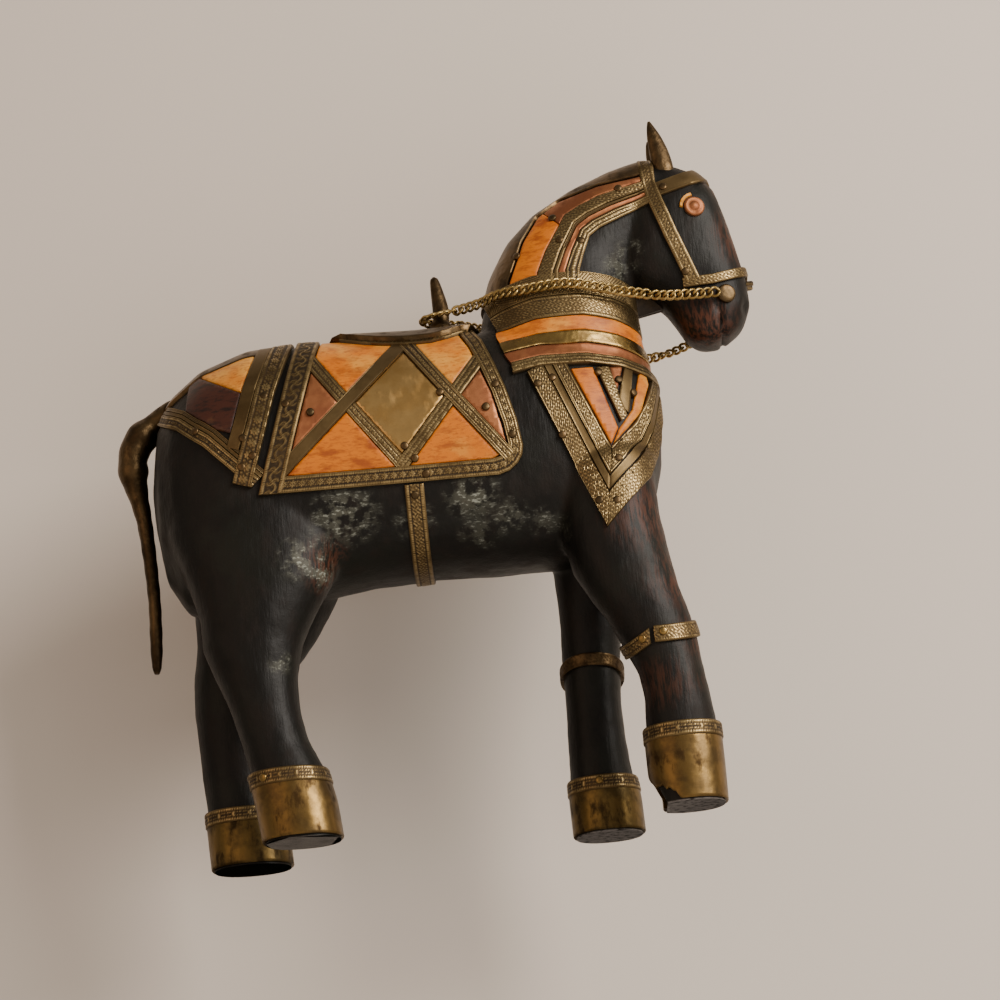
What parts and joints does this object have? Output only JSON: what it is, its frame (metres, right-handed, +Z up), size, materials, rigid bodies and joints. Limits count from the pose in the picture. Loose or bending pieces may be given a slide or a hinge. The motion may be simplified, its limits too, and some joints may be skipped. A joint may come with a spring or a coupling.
{
  "type": "carved wooden horse figure",
  "caption": "Standing carved wooden horse with brass, copper and stained-bone trappings, chain rein, and patinated metal ears, tail and hoof caps.",
  "frame": {"origin": "on the ground under the middle of the whole figure", "axes": "+X from tail to head, +Y to the horse's left, +Z up from the soles to the ear tips"},
  "size_m": [0.2508, 0.078, 0.2771],
  "materials": {
    "wood": "stained near black, waxed, worn at the edges",
    "brass_embossed": "thin strip pressed with flowers and scrolls, antiqued",
    "brass_plain": "plain sheet, rubbed bright",
    "brass_worn": "dark olive-brown patina, satin",
    "chain": "aged curb chain",
    "copper": "copper sheet, dulled",
    "bone": "bone stained orange, polished",
    "bone_dark": "bone stained dark red-brown, mottled"
  },
  "bodies": {
    "root": {"horse_body": "wood", "tail": "brass_worn", "ear_right": "brass_worn", "ear_left": "brass_worn", "saddle_horn": "brass_worn", "saddle_seat": "brass_embossed", "saddle_frame_right": "brass_embossed", "saddle_frame_left": "brass_embossed", "saddle_diamond_right": "brass_plain", "saddle_diamond_left": "brass_plain", "saddle_bone_rear_top_right": "bone", "saddle_bone_rear_top_left": "bone", "saddle_bone_rear_foot_right": "bone", "saddle_bone_rear_foot_left": "bone", "saddle_bone_front_top_right": "bone", "saddle_bone_front_top_left": "bone", "saddle_bone_front_foot_right": "bone", "saddle_bone_front_foot_left": "bone", "saddle_copper_rear_right": "copper", "saddle_copper_rear_left": "copper", "saddle_copper_front_right": "copper", "saddle_copper_front_left": "copper", "croup_frame_right": "brass_embossed", "croup_frame_left": "brass_embossed", "croup_bone_right": "bone", "croup_bone_left": "bone", "croup_tile_right": "bone_dark", "croup_tile_left": "bone_dark", "collar_top": "brass_embossed", "collar_second": "brass_embossed", "collar_bone": "bone", "collar_brass": "brass_plain", "collar_copper": "copper", "collar_lower": "brass_embossed", "chest_frame_right": "brass_embossed", "chest_frame_left": "brass_embossed", "chest_bone_rear_right": "bone", "chest_bone_rear_left": "bone", "chest_bone_front_right": "bone", "chest_bone_front_left": "bone", "crest_strip": "brass_plain", "mane_bone_right": "bone", "mane_bone_left": "bone", "mane_copper_right": "copper", "mane_copper_left": "copper", "mane_border_right": "brass_embossed", "mane_border_left": "brass_embossed", "headstall": "brass_embossed", "bit_boss_right": "brass_plain", "bit_boss_left": "brass_plain", "eye_right": "copper", "eye_left": "copper", "rein_chain": "chain", "girth_strap": "brass_embossed", "foreleg_band_right": "brass_embossed", "foreleg_band_left": "brass_embossed", "hoof_cap_front_right": "brass_plain", "hoof_cap_front_left": "brass_plain", "hoof_cap_hind_right": "brass_plain", "hoof_cap_hind_left": "brass_plain"}
  },
  "joints": []
}
